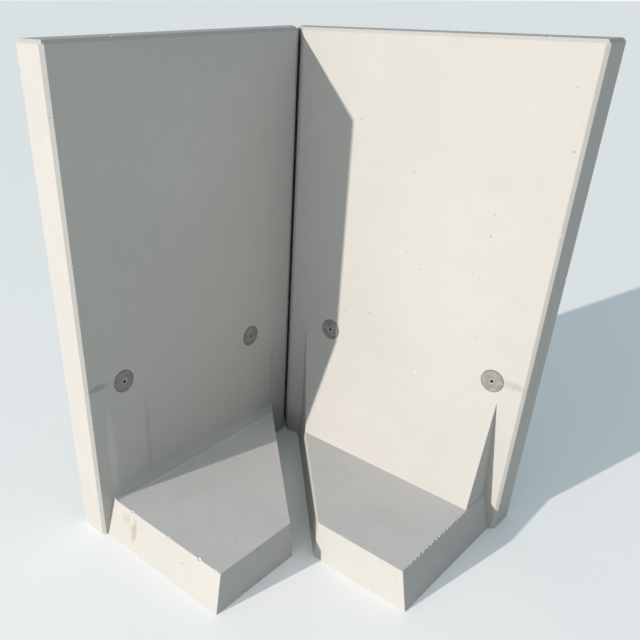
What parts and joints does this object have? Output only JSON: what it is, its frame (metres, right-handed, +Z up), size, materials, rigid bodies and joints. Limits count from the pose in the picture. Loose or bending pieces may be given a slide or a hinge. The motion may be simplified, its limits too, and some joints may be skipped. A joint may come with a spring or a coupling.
{
  "type": "precast retaining wall corner",
  "caption": "Precast concrete retaining wall corner: two L-shaped castings with upright panels and back feet, mitred together with an open joint.",
  "frame": {"origin": "on the ground, under the middle of the square that the two legs span", "axes": "+Z up; the right leg runs along +X with its smooth outer face towards +Y; the left leg runs along -Y with its smooth outer face towards -X; the feet and the retained earth are on the +X -Y side"},
  "size_m": [1.095, 1.095, 1.55],
  "materials": {
    "concrete": "matte",
    "socket_steel": "satin",
    "disc_plastic": "matte"
  },
  "bodies": {
    "root": {"left_element": "concrete", "right_element": "concrete", "left_outer_socket": "socket_steel", "left_inner_socket": "socket_steel", "right_inner_socket": "socket_steel", "right_outer_socket": "socket_steel", "left_outer_disc": "disc_plastic", "left_inner_disc": "disc_plastic", "right_inner_disc": "disc_plastic", "right_outer_disc": "disc_plastic"}
  },
  "joints": []
}
